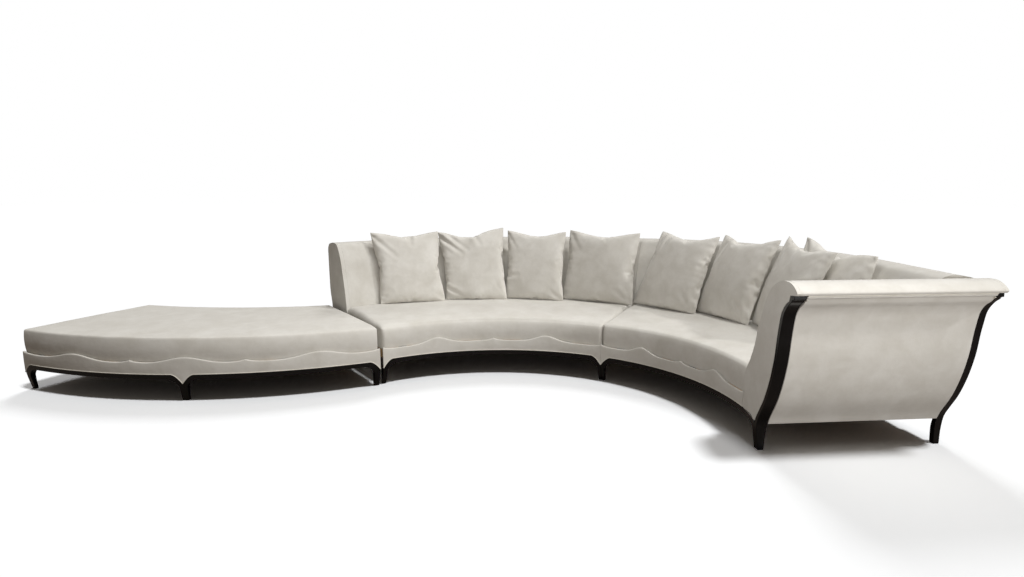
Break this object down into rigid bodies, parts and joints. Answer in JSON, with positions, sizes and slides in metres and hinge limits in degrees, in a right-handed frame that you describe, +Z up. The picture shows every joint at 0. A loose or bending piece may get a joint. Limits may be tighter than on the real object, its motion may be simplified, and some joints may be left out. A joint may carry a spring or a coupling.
{
  "type": "curved sofa",
  "caption": "Curved sectional sofa with a backless chaise end, a scroll arm, a wavy fabric apron over bowed lacquered legs, and loose pillows along its back.",
  "frame": {"origin": "middle of the box round the whole sofa in plan, on the floor", "axes": "+X along the longest side, from the chaise towards the scroll arm; -Y the way a sitter on the middle seat faces; +Z up"},
  "size_m": [5.5402, 2.699, 1.0025],
  "materials": {
    "nubuck": "pale beige brushed cloth",
    "piping": "pale cord in cloth",
    "lacquer": "black gloss lacquer",
    "timber": "plain sawn wood and plywood",
    "elastic": "woven elastic webbing",
    "backing": "black nonwoven lining",
    "steel": "plain steel plate"
  },
  "bodies": {
    "root": {"arm_frame": "timber", "arm_front_panel": "nubuck", "arm_front_post": "lacquer", "arm_outer_panel": "nubuck", "arm_pad": "nubuck", "arm_piping": "piping", "arm_rear_panel": "nubuck", "arm_rear_post": "lacquer", "chaise_apron": "nubuck", "chaise_apron_welt": "piping", "chaise_dust_cover": "backing", "chaise_frame": "timber", "chaise_leg_left": "lacquer", "chaise_leg_middle": "lacquer", "chaise_leg_right": "lacquer", "chaise_rail_end": "lacquer", "chaise_rail_left": "lacquer", "chaise_rail_right": "lacquer", "chaise_rear_base": "lacquer", "chaise_seat_pad": "nubuck", "chaise_webbing": "elastic", "connector_corner": "steel", "connector_left": "steel", "middle_apron": "nubuck", "middle_apron_welt": "piping", "middle_back_frame": "timber", "middle_back_pad": "nubuck", "middle_dust_cover": "backing", "middle_end_panel_left": "nubuck", "middle_end_panel_right": "nubuck", "middle_frame": "timber", "middle_leg_left": "lacquer", "middle_leg_right": "lacquer", "middle_outside_back": "nubuck", "middle_rail_front": "lacquer", "middle_rear_base": "lacquer", "middle_seat_pad": "nubuck", "middle_webbing": "elastic", "right_apron": "nubuck", "right_apron_welt": "piping", "right_back_frame": "timber", "right_back_pad": "nubuck", "right_dust_cover": "backing", "right_end_panel": "nubuck", "right_frame": "timber", "right_leg_left": "lacquer", "right_outside_back": "nubuck", "right_rail_front": "lacquer", "right_rear_base": "lacquer", "right_seat_pad": "nubuck", "right_webbing": "elastic", "throw_pillow_1": "nubuck", "throw_pillow_2": "nubuck", "throw_pillow_3": "nubuck", "throw_pillow_4": "nubuck", "throw_pillow_5": "nubuck", "throw_pillow_6": "nubuck", "throw_pillow_7": "nubuck", "throw_pillow_8": "nubuck"}
  },
  "joints": []
}
